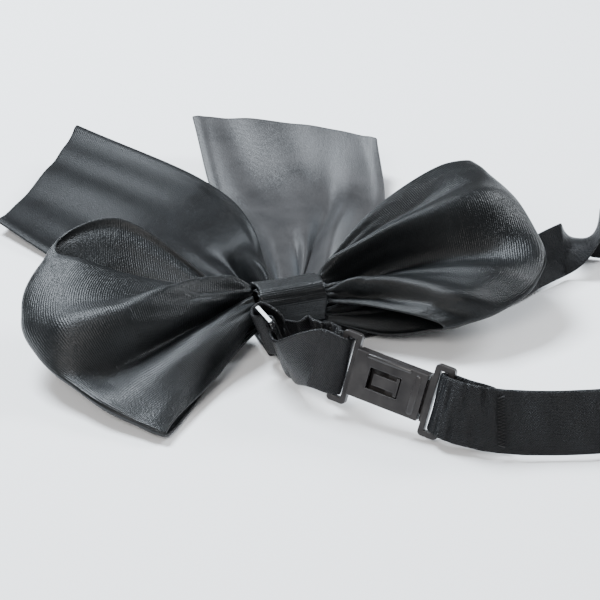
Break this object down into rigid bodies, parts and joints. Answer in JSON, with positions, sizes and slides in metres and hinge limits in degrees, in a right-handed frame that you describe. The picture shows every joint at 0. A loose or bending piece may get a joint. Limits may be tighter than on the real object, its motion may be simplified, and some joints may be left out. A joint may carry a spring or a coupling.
{
  "type": "bow tie",
  "caption": "Ready-tied satin ribbon bow with two wide tails, an adjustable neckband and a side-release clip.",
  "frame": {"origin": "on the surface that the bow lies on, under the middle of the knot, on the flat back of the neck strap", "axes": "+X along the bow towards its right loop, +Y towards the tails' free ends, +Z out of the front of the knot"},
  "size_m": [0.2355, 0.2456, 0.0336],
  "materials": {
    "bow_satin": "satin",
    "tail_satin": "satin",
    "strap_satin": "satin",
    "thread": "matte",
    "clip_plastic": "satin",
    "slider_plastic": "gloss"
  },
  "bodies": {
    "bow": {"left_loop": "bow_satin", "right_loop": "bow_satin", "gathered_core": "bow_satin", "binding_thread": "thread", "knot_wrap": "bow_satin", "tail_gather": "tail_satin", "back_stitching": "thread", "neck_strap": "strap_satin", "neck_bar_tack": "thread", "adjustable_strap": "strap_satin", "slider_bar_tack": "thread", "clip_blade": "clip_plastic"},
    "clip_half": {"clip_housing": "clip_plastic"},
    "tongue": {"latch_tongue": "clip_plastic"},
    "adjuster": {"slider": "slider_plastic"},
    "left_tail_body": {"left_tail": "tail_satin"},
    "right_tail_body": {"right_tail": "tail_satin"}
  },
  "joints": [
    {"name": "clip_release", "type": "slide", "parent": "bow", "child": "clip_half", "axis": [-0.6525, 0.7506, 0.1045], "range_m": [0, 0.011], "deforming": ["adjustable_strap"]},
    {"name": "latch_flex", "type": "hinge", "parent": "clip_half", "child": "tongue", "pos_m": [0.01109, -0.05459, 0.01204], "axis": [0.3226, 0.1503, 0.9345], "range_deg": [0, 10], "stiffness_Nm_per_rad": 0.004},
    {"name": "adjuster_slide", "type": "slide", "parent": "bow", "child": "adjuster", "axis": [0.1806, -0.9732, -0.1425], "range_m": [0, 0.005]},
    {"name": "left_tail_lift", "type": "hinge", "parent": "bow", "child": "left_tail_body", "pos_m": [-0.005, 0.0088, 0.0038], "axis": [1, 0, 0], "range_deg": [0, 20]},
    {"name": "right_tail_lift", "type": "hinge", "parent": "bow", "child": "right_tail_body", "pos_m": [0.005, 0.0088, 0.0038], "axis": [1, 0, 0], "range_deg": [0, 20]}
  ]
}
